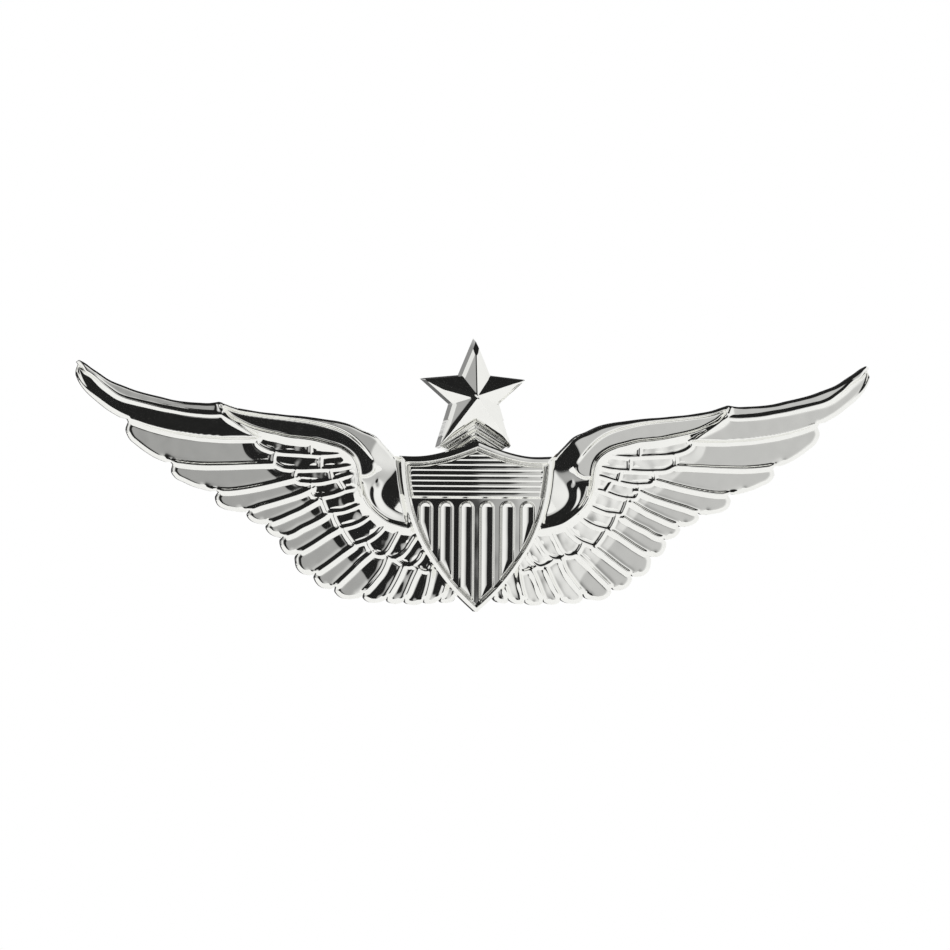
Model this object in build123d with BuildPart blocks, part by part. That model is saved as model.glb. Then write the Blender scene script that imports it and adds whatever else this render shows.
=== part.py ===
"""Pilot wings pin: a chromed feathered-wings badge with a shield and a star,
two nail posts on its back and a spring clutch on each post.

Frame: +X along the span, +Z up as worn, front face towards -Y. The back of the wings
lies in the plane Y = 0, and the origin is midway between the two posts. Millimetres.
"""
import os
from math import cos, hypot, pi, sin

from build123d import *

# Heights of the struck relief above the flat back
panel_height = 0.95
quill_height = 1.35
arm_height = 1.35
arm_band_height = 1.85
shoulder_height = 2.0
hub_height = 1.0
shield_floor_height = 2.15
shield_bar_height = 2.6
shield_rim_height = 2.9
star_back_height = 0.2
star_wall_height = 2.2
star_apex_height = 3.2

# Widths of the raised lines
margin_width = 0.45
quill_width = 0.28
leading_quill_width = 0.24
arm_ridge_width = 0.55
arm_top_width = 0.4
arm_top_lean = 0.2
covert_width = 0.25
rim_width = 0.32

# Posts
post_x = 12.0
pad_radius = 1.5
pad_recess = 0.3
pad_height = 0.3
collar_radius = 1.0
collar_height = 0.6
post_radius = 0.6
post_free_end = 2.2
groove_y = 6.6
groove_radius = 0.36
groove_width = 0.5
shoulder_radius = 0.5
point_radius = 0.48
point_length = 0.9
post_end = 8.0

# Clutches
clutch_y = 2.2
clutch_radius = 4.8
clutch_bore = 0.68
sheet = 0.35
rim_roll = 0.5
rim_centre = clutch_radius - rim_roll
flange_radius = 4.1
cap_foot_radius = 3.75
cap_lean = 0.15
cap_bend = 0.15
cap_top_radius = 2.9
cap_height = 2.4
cap_shoulder = 0.5
cap_inner_shoulder = 0.65
cap_top_sheet = 0.3
cap_top_inset = 0.1
bend_margin = 0.03
hub_radius = 1.25
hub_rise = 0.3
hub_lean = 0.3
window_inner = 1.6
window_width = 3.6
window_bottom = 1.0
window_overrun = 0.6
ear_pivot_u = 2.2
# Ear: side view from knuckle to tip, side view of its foot, and half of its outline
EAR_LEAF = [(2.2, 1.3), (2.5, 2.6), (3.05, 3.9), (3.75, 5.1), (4.65, 5.95)]
EAR_FOOT = [(2.2, 1.55), (1.05, 1.5), (1.05, 1.2), (2.2, 1.1)]
EAR_OUTLINE = [(1.5, 1.6), (2.6, 1.6), (3.0, 2.2), (3.5, 2.6), (4.1, 2.45), (4.6, 1.7), (4.85, 0)]
ear_pivot_w = 1.3
knuckle_radius = 0.34
knuckle_length = 4.0
ear_foot_width = 2.4
ear_width = 5.2
ear_top = 6.1
wire_radius = 0.2
wire_height = 0.62
wire_gap = 0.05
wire_leg = 2.0

# Left wing, outline of the tip and of the top edge
LEADING_EDGE = [(-31.75, 9.6), (-31.45, 9.95), (-30.5, 9.32), (-29, 8.31), (-27, 7.5), (-25, 6.96),
                (-23, 6.55), (-21, 6.43), (-20.4, 6.45)]
ARM_TOP = [(-20.2, 6.5), (-19, 6.05), (-17, 5.68), (-14, 5.37), (-11, 4.98), (-9.5, 4.45),
           (-8, 3.77), (-7.1, 2.9), (-6.5, 2.2)]
LEADING_QUILL = [(-31, 8.9), (-30.2, 8.4), (-29, 7.34), (-27, 6.36), (-25, 5.9), (-23, 5.64),
                 (-21, 5.52), (-20, 5.6)]

# Left wing, raised lower edge of each feather from the first to the last. The first list
# runs round the feather's free end to the notch of the next one, the second runs from
# there to its root. Each starts at the notch where the one before it ended.
TIP = (-31.5, 9.6)
FEATHERS = [
    ([(-31.5, 9.1), (-31.2, 8.3), (-30.5, 7.38), (-29.5, 6.5), (-28.5, 5.81), (-27.5, 5.3)],
     [(-26, 4.75), (-24, 4.2), (-21, 3.78), (-17.3, 3.7)]),
    ([(-27.55, 4.5), (-27.25, 3.8), (-26.3, 3.0), (-25.3, 2.35), (-24, 1.85)],
     [(-22, 1.55), (-19, 1.57), (-16.1, 1.65)]),
    ([(-23.95, 1.25), (-23.6, 0.7), (-22.5, 0.15), (-21.5, -0.2), (-20.35, -0.5)],
     [(-18.5, -0.38), (-17, -0.12), (-14.35, 0.5)]),
    ([(-20.35, -1.1), (-19.9, -1.7), (-19, -1.93), (-17.85, -1.97)],
     [(-17, -1.68), (-15, -1.08), (-13.05, -0.35)]),
    ([(-17.85, -2.4), (-17.45, -2.8), (-16.9, -2.98), (-16.25, -2.98)],
     [(-15, -2.5), (-13.8, -1.95), (-12.5, -1.25)]),
    ([(-16.33, -3.45), (-15.95, -3.87), (-15.15, -4.07)],
     [(-14, -3.6), (-13, -3.12), (-11.9, -2.5)]),
    ([(-15.2, -4.7), (-14.95, -5.25), (-14.5, -5.42), (-14, -5.35)],
     [(-13, -4.85), (-12, -4.2), (-10.9, -3.55)]),
    ([(-13.98, -6.1), (-13.8, -6.68), (-13.3, -7.0), (-12.55, -6.93)],
     [(-11.5, -6.2), (-10.5, -5.47), (-9.66, -4.9)]),
    ([(-12.42, -7.55), (-12, -7.98), (-11.5, -8.12), (-11, -8.0)],
     [(-10.3, -7.4), (-9.33, -6.43), (-8.25, -5.47)]),
    ([(-10.85, -8.45), (-10.3, -8.9), (-9.5, -8.92), (-8.75, -8.5)],
     [(-8.1, -7.85), (-7.45, -7), (-7, -5.93)]),
    ([(-8.5, -8.95), (-8, -9.2), (-7.4, -9.15), (-6.85, -8.75)],
     [(-6.3, -7.85), (-6, -7.2), (-5.75, -6.6)]),
    ([(-6.6, -9.2), (-6, -9.28), (-5.55, -8.98)],
     [(-5.15, -8.1), (-4.85, -7.35), (-4.58, -6.76)]),
    ([(-5.25, -9.3), (-4.7, -9.38), (-4.2, -9.15), (-4, -8.9)],
     [(-3.8, -8.34), (-3.65, -7.6), (-3.54, -6.93)]),
    ([(-3.75, -9.25), (-3.3, -9.25), (-2.7, -8.82)],
     [(-2.55, -8.45), (-2.46, -8.1)]),
    ([(-2.5, -9.18), (-2.1, -9.2), (-1.7, -8.9)],
     [(-1.5, -8.5)]),
]

# Left wing, end of the outline behind the shield
ARM_FOOT = (-5.3, 2.2)
BLANK_END = [(0, 2.2), (0, -8.6)]

# Hub behind the shield, from its top left corner down and round
HUB = [(-5.6, 2.0), (-4.95, -2.4), (-4.05, -4.6), (-2.85, -6.6), (-1.45, -8.2), (0.15, -9.4),
       (1.45, -8.2), (2.85, -6.6), (4.05, -4.6), (4.95, -2.4), (5.55, 0.3), (5.6, 2.0)]

# Left wing, lower ridge of the arm from the notch round the shoulder to the shield
ARM_RIDGE = [(-20.1, 5.85), (-19.5, 5.25), (-18.5, 4.7), (-17, 4.15), (-15, 3.72), (-13, 3.46),
             (-11, 2.9), (-10, 2.33), (-9.55, 1.4), (-9.4, 0.3), (-9.2, -0.75), (-8.6, -1.84),
             (-7.67, -2.67), (-6.5, -3.26), (-5.3, -3.5)]
SHOULDER = [(-6.2, 0.9), (-7.1, 0.1), (-7.35, -0.7), (-7, -1.4), (-6.3, -2.1), (-5.5, -2.3)]

# Left wing, raised edges of the small covert feathers, row by row
COVERTS = [
    [(-17.25, 3.7), (-17.3, 3.25), (-16.5, 2.72), (-15, 2.42), (-13.2, 2.4), (-11.5, 2.33), (-10.2, 2.5)],
    [(-15.93, 2.5), (-16, 1.65), (-15, 1.25), (-13.5, 1.17), (-11.7, 1.22), (-9.9, 1.5)],
    [(-14.3, 1.15), (-14.3, 0.4), (-13, 0.1), (-11.3, 0.35), (-9.5, 0.85)],
    [(-13.05, 0.05), (-12.95, -0.9), (-12, -0.96), (-10.8, -0.68), (-9.3, -0.3)],
    [(-12.2, -1.0), (-11.8, -2.15), (-10.8, -2.2), (-9.9, -1.95), (-8.9, -1.5)],
    [(-11.3, -2.3), (-10.9, -3.4), (-10.2, -3.4), (-9.2, -3.05), (-8.3, -2.4)],
    [(-10.5, -3.4), (-9.8, -4.7), (-8.7, -4.52), (-7.9, -4.05), (-7.2, -3.2)],
    [(-8.6, -4.6), (-8.2, -5.4), (-7.4, -5.6), (-6.9, -5.2), (-6.5, -4.5), (-6.05, -3.6)],
    [(-7.3, -5.5), (-6.5, -5.9), (-5.7, -5.5), (-5.1, -4.7), (-4.8, -4.2)],
    [(-6.3, -5.9), (-5.3, -6.5), (-4.8, -6.3), (-4.2, -5.6)],
    [(-5.0, -6.4), (-4.2, -6.8), (-3.8, -6.85), (-3.5, -6.5)],
]
COVERT_DIVIDERS = [
    [(-13.15, 3.5), (-13.15, 2.4)],
    [(-12.35, 2.4), (-12.35, 1.2)],
    [(-11.7, 1.25), (-11.45, 0.3)],
    [(-10.95, 0.35), (-10.4, -0.55)],
]

# Shield: outer edge, from the middle of its top round the left side to the point
SHIELD_TOP = [(0, 3.45), (-1.1, 3.0), (-2.6, 2.5), (-4, 2.22), (-6.02, 2.2)]
SHIELD_SIDE = [(-6.02, 2.2), (-5.88, 0.3), (-5.4, -2.2), (-4.5, -4.6), (-3.45, -6.3), (-2, -8.2),
               (0, -10.15)]
tip_sharpness = 1.4
shield_span = 20.0
chief_top_groove = 1.45
chief_bottom = -1.1
chief_half_width = 5.35
chief_pitch = 0.42
chief_groove = 0.12
chief_grooves = 6
# Grooves above the full-width ones: middle and length
CHIEF_SHORT_GROOVES = [((-0.3, 1.8), 4.2), ((0.05, 2.2), 2.6)]
bar_pitch = 1.62
bar_width = 1.12
bar_top = -1.35
bar_inset = 0.2

# Star: radii of its points and of its inner corners about its centre
star_centre = (-0.1, 6.95)
point_radii = [4.35, 4.25, 4.85, 4.8, 4.1]
inner_radius = 1.95
star_draft = 3.0
saddle_half_width = 1.9
saddle_bottom = 0.8
saddle_thickness = 0.4
# Sides of the saddle's wide part, behind the star's lower points
SADDLE_RIGHT = [(2.5, 3.3), (1.2, 5.4)]
SADDLE_LEFT = [(-1.4, 5.4), (-2.6, 3.3)]
saddle_neck_top = 2.6


def offset_point(before, point, after, distance):
    """The middle point moved to the left of the line through its neighbours."""
    run_x, run_z = after[0] - before[0], after[1] - before[1]
    length = hypot(run_x, run_z)
    return (point[0] - run_z / length * distance, point[1] + run_x / length * distance)


def ribbon_sides(points, width):
    """The two sides of a band of this width that follows a line of points."""
    ends = [points[0]] + points + [points[-1]]
    sides = []
    for distance in (width / 2, -width / 2):
        sides.append([offset_point(ends[i], point, ends[i + 2], distance)
                      for i, point in enumerate(points)])
    return sides


def draw_curve(points):
    """A smooth line through the points, or a straight one through two."""
    if len(points) == 2:
        Line(*points)
    else:
        Spline(*points)


def ribbon(points, width):
    """Add a band of constant width to the current sketch."""
    left, right = ribbon_sides(points, width)
    with BuildLine() as band:
        draw_curve(left)
        draw_curve(right)
        Line(left[0], right[0])
        Line(left[-1], right[-1])
    make_face(band.edges())


def inset_line(points, inset, start, end):
    """A line of points moved sideways, between a given start and end."""
    moved = [offset_point(*points[i:i + 3], inset) for i in range(len(points) - 2)]
    return [start] + moved + [end]


def shield_outline(inset):
    """The shield's closed outline, drawn this far inside its edge."""
    peak = (0, SHIELD_TOP[0][1] - inset)
    corner = (SHIELD_SIDE[0][0] + inset, SHIELD_SIDE[0][1] - inset)
    tip = (0, SHIELD_SIDE[-1][1] + inset * tip_sharpness)
    top = inset_line(SHIELD_TOP, inset, peak, corner)
    edge = inset_line(SHIELD_SIDE, inset, corner, tip)
    with BuildLine() as outline:
        for sign in (1, -1):
            Spline(*[(sign * x, z) for x, z in top])
            Spline(*[(sign * x, z) for x, z in edge])
    make_face(outline.edges())


def front(height):
    """The plane at this height above the back, drawn as seen from the front."""
    return Plane.XZ.offset(height)


def save(builder, name):
    """Label a finished piece and write it."""
    builder.part.label = name
    export_step(builder.part, f"parts/{name}.step")


os.makedirs("parts", exist_ok=True)

# ---- Wings: flat-backed blank, raised quills and arms, plain hub behind the shield ----
quills = []
notch = TIP
for free_end, root in FEATHERS:
    quills.append([notch] + free_end + root)
    notch = free_end[-1]

with BuildPart() as wing_plate:
    with BuildSketch(front(0)) as blank_outline:
        with BuildLine():
            Spline(*LEADING_EDGE)
            Line(LEADING_EDGE[-1], ARM_TOP[0])
            Spline(*ARM_TOP)
            Polyline(ARM_TOP[-1], *BLANK_END, FEATHERS[-1][0][-1])
            notch = TIP
            for free_end, root in FEATHERS:
                Spline(notch, *free_end)
                notch = free_end[-1]
            Line(TIP, LEADING_EDGE[0])
        make_face()
        notch = TIP
        for free_end, root in FEATHERS:
            ribbon([notch] + free_end, margin_width)
            notch = free_end[-1]
    extrude(amount=panel_height)
    with BuildSketch(front(0)) as quill_lines:
        for line in quills:
            ribbon(line, quill_width)
        ribbon(LEADING_QUILL, leading_quill_width)
        for line in COVERTS + COVERT_DIVIDERS:
            ribbon(line, covert_width)
    extrude(amount=quill_height)
    with BuildSketch(front(0)) as arm:
        with BuildLine():
            Spline(*ARM_TOP)
            Polyline(ARM_TOP[-1], ARM_FOOT, ARM_RIDGE[-1])
            Spline(*ARM_RIDGE)
            Line(ARM_RIDGE[0], ARM_TOP[0])
        make_face()
    extrude(amount=arm_height)
    with BuildSketch(front(0)) as arm_bands:
        ribbon(ARM_RIDGE, arm_ridge_width)
        with BuildLine():
            Spline(*ARM_TOP)
            inner_edge = [(x + arm_top_width * arm_top_lean, z - arm_top_width) for x, z in ARM_TOP[1:-2]]
            Line(ARM_TOP[0], inner_edge[0])
            Spline(*inner_edge)
            Line(inner_edge[-1], ARM_TOP[-1])
        make_face()
    extrude(amount=arm_band_height)
    with BuildSketch(front(0)) as shoulder:
        with BuildLine():
            Spline(*SHOULDER)
            Line(SHOULDER[-1], SHOULDER[0])
        make_face()
    extrude(amount=shoulder_height)
    mirror(about=Plane.YZ)
    with BuildSketch(front(0)) as hub:
        with BuildLine():
            Polyline(*HUB, close=True)
        make_face()
    extrude(amount=hub_height)
    with BuildSketch(front(hub_height)) as shield_seat:
        shield_outline(0)
    extrude(amount=shield_rim_height, mode=Mode.SUBTRACT)
    with BuildSketch(front(0)) as pad_seats:
        with Locations((-post_x, 0), (post_x, 0)):
            Circle(pad_radius)
    extrude(amount=pad_recess, mode=Mode.SUBTRACT)
save(wing_plate, "wing_plate")

# ---- Shield: raised rim, chief block cut by level grooves, and six bars ----
with BuildPart() as shield:
    with BuildSketch(front(hub_height)) as shield_blank:
        shield_outline(0)
    extrude(amount=shield_rim_height - hub_height)
    with BuildSketch(front(shield_floor_height)) as shield_field:
        shield_outline(rim_width)
    extrude(amount=shield_rim_height - shield_floor_height, mode=Mode.SUBTRACT)
    with BuildSketch(front(shield_floor_height)) as chief:
        shield_outline(rim_width + bar_inset)
        with Locations((0, chief_bottom - shield_span / 2)):
            Rectangle(shield_span, shield_span, mode=Mode.SUBTRACT)
        with Locations(*[(0, chief_top_groove - i * chief_pitch) for i in range(chief_grooves)]):
            Rectangle(2 * chief_half_width, chief_groove, mode=Mode.SUBTRACT)
        for middle, length in CHIEF_SHORT_GROOVES:
            with Locations(middle):
                Rectangle(length, chief_groove, mode=Mode.SUBTRACT)
    extrude(amount=shield_bar_height - shield_floor_height)
    with BuildSketch(front(shield_floor_height)) as bars:
        shield_outline(rim_width + bar_inset)
        with Locations((0, bar_top + shield_span / 2)):
            Rectangle(shield_span, shield_span, mode=Mode.SUBTRACT)
        with Locations(*[(i * bar_pitch, -shield_span / 2) for i in range(-3, 4)]):
            Rectangle(bar_pitch - bar_width, shield_span, mode=Mode.SUBTRACT)
    extrude(amount=shield_bar_height - shield_floor_height)
    with BuildSketch(front(hub_height)) as saddle_pocket:
        with Locations((0, saddle_bottom + saddle_half_width)):
            Rectangle(2 * saddle_half_width, 2 * saddle_half_width)
    extrude(amount=saddle_thickness, mode=Mode.SUBTRACT)
save(shield, "shield")

# ---- Star: five faceted points on a low wall, and a saddle that runs behind the shield ----
apex_x, apex_z = star_centre
star_corners = []
for i in range(5):
    point_angle = pi / 2 + i * 2 * pi / 5
    inner_angle = point_angle + pi / 5
    star_corners.append((apex_x + point_radii[i] * cos(point_angle),
                         apex_z + point_radii[i] * sin(point_angle)))
    star_corners.append((apex_x + inner_radius * cos(inner_angle),
                         apex_z + inner_radius * sin(inner_angle)))

apex = Vector(apex_x, -star_apex_height, apex_z)
rim_points = [Vector(x, -star_wall_height, z) for x, z in star_corners]
facets = []
for i, corner in enumerate(rim_points):
    after = rim_points[(i + 1) % len(rim_points)]
    facets.append(Face(Wire.make_polygon([apex, corner, after])))
facets.append(Face(Wire.make_polygon(rim_points)))
star_roof = Solid(Shell(facets))

with BuildPart() as star:
    with BuildSketch(front(star_wall_height)) as star_outline:
        with BuildLine():
            Polyline(*star_corners, close=True)
        make_face()
    extrude(amount=star_back_height - star_wall_height, taper=-star_draft)
    add(star_roof)
    with BuildSketch(front(hub_height)) as saddle:
        with BuildLine():
            Polyline((-saddle_half_width, saddle_bottom), (saddle_half_width, saddle_bottom),
                     (saddle_half_width, saddle_neck_top), *SADDLE_RIGHT, *SADDLE_LEFT,
                     (-saddle_half_width, saddle_neck_top), close=True)
        make_face()
    extrude(amount=saddle_thickness)
save(star, "star")

# ---- Posts: braze pad in its seat, straight shank, slight taper, grip groove and point ----
for side, x in (("left", -post_x), ("right", post_x)):
    with BuildPart() as post:
        with BuildSketch(Plane(origin=(x, 0, 0))) as post_profile:
            with BuildLine():
                Polyline((0, -pad_recess), (pad_radius, -pad_recess), (pad_radius, pad_height),
                         (collar_radius, pad_height), (post_radius, collar_height),
                         (post_radius, post_free_end), (shoulder_radius, groove_y - groove_width / 2),
                         (groove_radius, groove_y - groove_width / 4),
                         (groove_radius, groove_y + groove_width / 4),
                         (shoulder_radius, groove_y + groove_width / 2),
                         (point_radius, post_end - point_length), (0, post_end), close=True)
            make_face()
        revolve(axis=Axis((x, 0, 0), (0, 1, 0)))
    save(post, f"{side}_post")

# ---- Clutches: rolled base, domed cap, two squeeze ears and the grip spring ----
for side, x in (("left", -post_x), ("right", post_x)):
    clutch_axis = Axis((x, 0, 0), (0, 1, 0))
    section = Plane(origin=(x, clutch_y, 0))

    with BuildPart() as clutch_base:
        with BuildSketch(section) as base_profile:
            with Locations(((clutch_bore + rim_centre) / 2, sheet / 2)):
                Rectangle(rim_centre - clutch_bore, sheet)
            with Locations((rim_centre, rim_roll)):
                Circle(rim_roll)
            with Locations((flange_radius / 2, 1.5 * sheet)):
                Rectangle(flange_radius, sheet, mode=Mode.SUBTRACT)
        revolve(axis=clutch_axis)
    save(clutch_base, f"{side}_clutch_base")

    with BuildPart() as clutch_cover:
        with BuildSketch(section) as cap_profile:
            foot_top = 2 * sheet
            inside_top = cap_height - cap_top_sheet
            with BuildLine():
                Polyline((cap_foot_radius - sheet, sheet), (flange_radius, sheet),
                         (flange_radius, foot_top), (cap_foot_radius, foot_top),
                         (cap_foot_radius - cap_lean, cap_height - cap_shoulder),
                         (cap_top_radius, cap_height), (hub_radius, cap_height),
                         (hub_radius - hub_lean, cap_height + hub_rise),
                         (clutch_bore, cap_height + hub_rise), (clutch_bore, inside_top),
                         (cap_top_radius - cap_top_inset, inside_top),
                         (cap_foot_radius - sheet - cap_lean, cap_height - cap_inner_shoulder),
                         close=True)
            make_face()
            bends = [corner for corner in cap_profile.vertices()
                     if corner.Y > foot_top + bend_margin and corner.X > hub_radius - bend_margin]
            fillet(bends, cap_bend)
        revolve(axis=clutch_axis)
        with BuildSketch(Plane.XY) as windows:
            window_reach = cap_foot_radius + window_overrun - window_inner
            window_rise = cap_height + window_overrun - window_bottom
            for sign in (-1, 1):
                centre_u = window_inner + window_reach / 2
                centre_w = clutch_y + window_bottom + window_rise / 2
                with Locations((x + sign * centre_u, centre_w)):
                    Rectangle(window_reach, window_rise)
        extrude(amount=window_width / 2, both=True, mode=Mode.SUBTRACT)
    save(clutch_cover, f"{side}_clutch_cover")

    for ear_name, out in (("outer", x / post_x), ("inner", -x / post_x)):
        pivot = (x + out * ear_pivot_u, clutch_y + ear_pivot_w)
        with BuildPart() as ear:
            with BuildSketch(Plane.XY) as leaf_profile:
                ribbon([(x + out * u, clutch_y + w) for u, w in EAR_LEAF], sheet)
            extrude(amount=ear_width / 2, both=True)
            with BuildSketch(Plane.XZ.offset(-clutch_y - ear_top)) as leaf_shape:
                outline = [(x + out * u, v) for u, v in EAR_OUTLINE]
                with BuildLine():
                    for sign in (1, -1):
                        Line((outline[0][0], 0), (outline[0][0], sign * outline[0][1]))
                        Line((outline[0][0], sign * outline[0][1]), (outline[1][0], sign * outline[1][1]))
                        Spline(*[(u, sign * v) for u, v in outline[1:]])
                make_face()
            extrude(amount=ear_top, mode=Mode.INTERSECT)
            with BuildSketch(Plane.XY) as knuckle:
                with Locations(pivot):
                    Circle(knuckle_radius)
            extrude(amount=knuckle_length / 2, both=True)
            with BuildSketch(Plane.XY) as foot_profile:
                with BuildLine():
                    Polyline(*[(x + out * u, clutch_y + w) for u, w in EAR_FOOT], close=True)
                make_face()
            extrude(amount=ear_foot_width / 2, both=True)
        save(ear, f"{side}_{ear_name}_ear")

    with BuildPart() as spring:
        leg_x = post_radius + wire_radius + wire_gap
        wire_y = clutch_y + wire_height
        with BuildLine() as wire_path:
            Line((x - leg_x, wire_y, -wire_leg), (x - leg_x, wire_y, wire_leg))
            ThreePointArc((x - leg_x, wire_y, wire_leg), (x, wire_y, wire_leg + leg_x),
                          (x + leg_x, wire_y, wire_leg))
            Line((x + leg_x, wire_y, wire_leg), (x + leg_x, wire_y, -wire_leg))
        with BuildSketch(Plane(origin=wire_path.line @ 0, z_dir=wire_path.line % 0)) as wire_section:
            Circle(wire_radius)
        sweep()
    save(spring, f"{side}_clutch_spring")
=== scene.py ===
"""Looks of the pilot wings pin: chromed wings, shield and star as fine relief meshes, and
finishes for its posts and clutches. The relief is worked out in millimetres, as heights
above the badge's flat back, and turned into closed meshes in metres.
"""
import math

import bpy
import numpy as np
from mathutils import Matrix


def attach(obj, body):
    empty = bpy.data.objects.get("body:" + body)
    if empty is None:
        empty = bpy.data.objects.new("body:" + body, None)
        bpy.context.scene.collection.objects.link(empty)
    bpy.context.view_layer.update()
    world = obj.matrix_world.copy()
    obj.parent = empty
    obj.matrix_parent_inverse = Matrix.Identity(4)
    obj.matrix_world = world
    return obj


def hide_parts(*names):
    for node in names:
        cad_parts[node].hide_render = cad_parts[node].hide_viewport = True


MM = 0.001

# ---- Frame ----
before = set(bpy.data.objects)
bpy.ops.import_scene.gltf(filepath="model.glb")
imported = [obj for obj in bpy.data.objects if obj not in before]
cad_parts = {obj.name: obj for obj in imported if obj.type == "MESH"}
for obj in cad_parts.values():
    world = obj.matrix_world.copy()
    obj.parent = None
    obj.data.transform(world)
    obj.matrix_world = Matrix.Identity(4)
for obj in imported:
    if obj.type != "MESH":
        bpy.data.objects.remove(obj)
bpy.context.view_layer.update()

# ---- Wing outline and raised lines: left wing, millimetres, tip first ----
LEADING_EDGE = [(-31.45, 9.95), (-31, 9.7), (-30.5, 9.32), (-30, 8.98), (-29, 8.31), (-28, 7.89),
                (-27, 7.5), (-26, 7.21), (-25, 6.96), (-24, 6.7), (-23, 6.55), (-22, 6.47),
                (-21, 6.43), (-20.45, 6.5)]
ARM_TOP = [(-20.35, 6.52), (-20, 6.4), (-19, 6.05), (-18, 5.85), (-17, 5.68), (-16, 5.57),
           (-15, 5.45), (-14, 5.37), (-13, 5.25), (-12, 5.1), (-11, 4.95), (-10, 4.69),
           (-9, 4.23), (-8, 3.77), (-7.3, 3.07), (-6.7, 2.44), (-6.5, 2.2)]
LEADING_QUILL = [(-31, 8.95), (-30.2, 8.5), (-29.5, 7.88), (-29, 7.5), (-28.5, 7.15), (-28, 6.92),
                 (-27, 6.64), (-26, 6.4), (-25, 6.16), (-24, 5.97), (-23, 5.78), (-22, 5.66),
                 (-21, 5.59), (-20.1, 5.62)]
TIP_CORNER = (-31.66, 9.8)
# The raised line across the wrist, where the leading edge meets the arm
WRIST = [(-20.45, 6.4), (-20.25, 5.75)]
# Where the arm's band ends, and the rest of the outline, hidden behind the shield
ARM_END = (-5.0, 2.2)
UNDER_SHIELD = [(-5.9, 2.15), (-5.5, 2.1), (0, 2.1), (0, -8.6)]

# Each feather's raised lower edge: round its free end, then in to its root
QUILLS = [
    ([(-31.5, 9.6), (-31.55, 9.16), (-31.35, 8.5), (-31, 7.92), (-30.5, 7.36), (-30, 6.92),
      (-29.5, 6.5), (-29, 6.12), (-28.5, 5.81), (-28, 5.53), (-27.6, 5.32)],
     [(-27, 5.12), (-26, 4.75), (-25, 4.45), (-24, 4.2), (-23, 4.03), (-22, 3.87), (-21, 3.78),
      (-20, 3.7), (-19, 3.68), (-17.3, 3.72)]),
    ([(-27.5, 5.0), (-27.52, 4.5), (-27.4, 4.1), (-27.2, 3.75), (-26.8, 3.4), (-26.3, 3.0),
      (-25.8, 2.65), (-25.3, 2.35), (-24.7, 2.08), (-24.1, 1.88)],
     [(-23, 1.68), (-22, 1.58), (-20, 1.55), (-18, 1.6), (-16.1, 1.65)]),
    ([(-23.95, 1.6), (-23.88, 1.1), (-23.6, 0.7), (-23, 0.38), (-22.3, 0.05), (-21.5, -0.2),
      (-20.5, -0.42)],
     [(-19.5, -0.48), (-18.5, -0.38), (-17, -0.12), (-16, 0.1), (-15, 0.35), (-14.35, 0.5)]),
    ([(-20.32, -0.6), (-20.36, -1.1), (-20.2, -1.5), (-19.8, -1.75), (-19.2, -1.9),
      (-18.5, -2.0), (-17.95, -1.98)],
     [(-17, -1.68), (-16, -1.4), (-15, -1.1), (-14, -0.78), (-13.05, -0.35)]),
    ([(-17.83, -2.1), (-17.83, -2.45), (-17.6, -2.72), (-17.2, -2.9), (-16.7, -3.0),
      (-16.35, -3.0)],
     [(-15.5, -2.75), (-14.7, -2.4), (-14, -2.1), (-13.3, -1.72), (-12.5, -1.25)]),
    ([(-16.3, -3.15), (-16.32, -3.45), (-16.1, -3.75), (-15.6, -4.0), (-15.2, -4.06)],
     [(-14.5, -3.9), (-13.8, -3.5), (-13, -3.12), (-12.3, -2.75), (-11.9, -2.5)]),
    ([(-15.15, -4.2), (-15.2, -4.7), (-15.05, -5.1), (-14.8, -5.35), (-14.3, -5.42),
      (-14, -5.35)],
     [(-13, -4.85), (-12.3, -4.4), (-11.6, -3.95), (-10.9, -3.55)]),
    ([(-13.98, -5.5), (-13.98, -6.1), (-13.85, -6.6), (-13.5, -6.92), (-13.1, -7.02),
      (-12.6, -6.95)],
     [(-12, -6.6), (-11.3, -6.1), (-10.5, -5.5), (-9.66, -4.9)]),
    ([(-12.55, -7.1), (-12.4, -7.6), (-12.1, -7.95), (-11.6, -8.12), (-11.1, -8.05)],
     [(-10.5, -7.55), (-9.8, -6.9), (-9.1, -6.2), (-8.25, -5.47)]),
    ([(-10.96, -8.15), (-10.8, -8.5), (-10.5, -8.8), (-10.08, -8.93), (-9.58, -8.9),
      (-9.1, -8.8), (-8.85, -8.6)],
     [(-8.33, -8.1), (-7.83, -7.5), (-7.41, -6.93), (-7.16, -6.43), (-7, -5.93)]),
    ([(-8.67, -8.67), (-8.58, -8.93), (-8.25, -9.18), (-7.83, -9.22), (-7.33, -9.1),
      (-6.95, -8.85)],
     [(-6.66, -8.43), (-6.33, -7.85), (-6.08, -7.35), (-5.75, -6.6)]),
    ([(-6.87, -9.0), (-6.66, -9.2), (-6.33, -9.3), (-6, -9.26), (-5.6, -9.02)],
     [(-5.41, -8.68), (-5.17, -8.1), (-4.92, -7.5), (-4.58, -6.76)]),
    ([(-5.5, -9.1), (-5.25, -9.3), (-4.92, -9.38), (-4.5, -9.34), (-4.1, -9.08)],
     [(-3.96, -8.84), (-3.8, -8.34), (-3.67, -7.76), (-3.54, -6.93)]),
    ([(-4, -9.1), (-3.79, -9.26), (-3.4, -9.26), (-3.1, -9.13), (-2.75, -8.84)],
     [(-2.58, -8.5), (-2.46, -8.1)]),
    ([(-2.63, -9.05), (-2.5, -9.2), (-2.17, -9.2), (-1.83, -9.1), (-1.67, -8.85)],
     [(-1.5, -8.5)]),
]

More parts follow.
